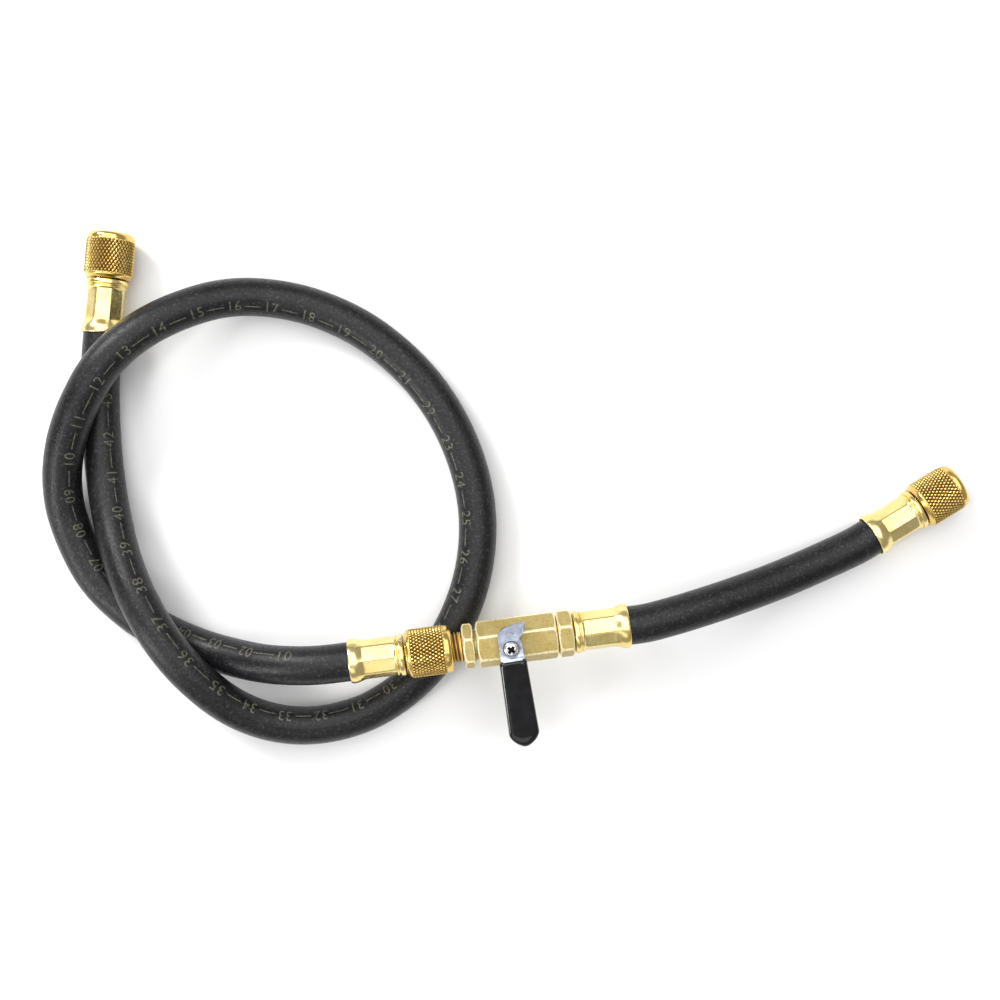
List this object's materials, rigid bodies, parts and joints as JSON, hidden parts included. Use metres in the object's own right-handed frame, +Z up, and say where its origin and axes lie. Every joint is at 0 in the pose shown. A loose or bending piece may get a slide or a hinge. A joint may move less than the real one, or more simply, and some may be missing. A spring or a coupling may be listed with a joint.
{
  "type": "refrigerant charging hose",
  "caption": "Black rubber charging hose lying in a loop, with knurled brass swivel nuts on crimped ferrules and a lever ball valve ahead of a short outlet hose.",
  "frame": {"origin": "middle of the footprint, on the surface that the hose lies on", "axes": "+Z up; +X along the longest side, from the loop to the outlet nut"},
  "size_m": [0.3402, 0.1892, 0.0362],
  "materials": {
    "hose_rubber": "smooth extruded rubber, satin",
    "ferrule_brass": "polished pale brass",
    "nut_brass": "golden brass with darkened knurling",
    "valve_brass": "dull tumbled brass",
    "lever_zinc": "bright zinc plate",
    "screw_steel": "bright plated steel",
    "grip_vinyl": "glossy dipped vinyl",
    "gasket_rubber": "matt moulded rubber",
    "seat_plastic": "white fluoropolymer"
  },
  "bodies": {
    "root": {"main_hose": "hose_rubber", "whip_hose": "hose_rubber", "free_end_ferrule": "ferrule_brass", "free_end_insert": "valve_brass", "valve_end_ferrule": "ferrule_brass", "valve_end_insert": "valve_brass", "valve_end_nut": "nut_brass", "valve_end_gasket": "gasket_rubber", "inlet_connector": "valve_brass", "valve_body": "valve_brass", "inlet_seat": "seat_plastic", "outlet_seat": "seat_plastic", "whip_connector": "valve_brass", "whip_ferrule": "ferrule_brass", "outlet_ferrule": "ferrule_brass", "outlet_insert": "valve_brass"},
    "free_end_swivel": {"free_end_nut": "nut_brass", "free_end_gasket": "gasket_rubber"},
    "outlet_swivel": {"outlet_nut": "nut_brass", "outlet_gasket": "gasket_rubber"},
    "valve_lever": {"lever": "lever_zinc", "lever_grip": "grip_vinyl", "lever_washer": "lever_zinc", "lever_screw": "screw_steel", "valve_stem": "valve_brass", "valve_ball": "screw_steel"}
  },
  "joints": [
    {"name": "free_end_nut_spin", "type": "hinge", "parent": "root", "child": "free_end_swivel", "pos_m": [-0.14946, 0.05694, 0.00875], "axis": [0.0872, 0.9962, 0], "continuous": true},
    {"name": "outlet_nut_spin", "type": "hinge", "parent": "root", "child": "outlet_swivel", "pos_m": [0.13444, -0.01776, 0.00875], "axis": [0.8536, 0.521, 0], "continuous": true},
    {"name": "lever_turn", "type": "hinge", "parent": "root", "child": "valve_lever", "pos_m": [0.00055, -0.05498, 0.02218], "axis": [0.055, -0.1334, 0.9895], "range_deg": [0, 90]}
  ]
}
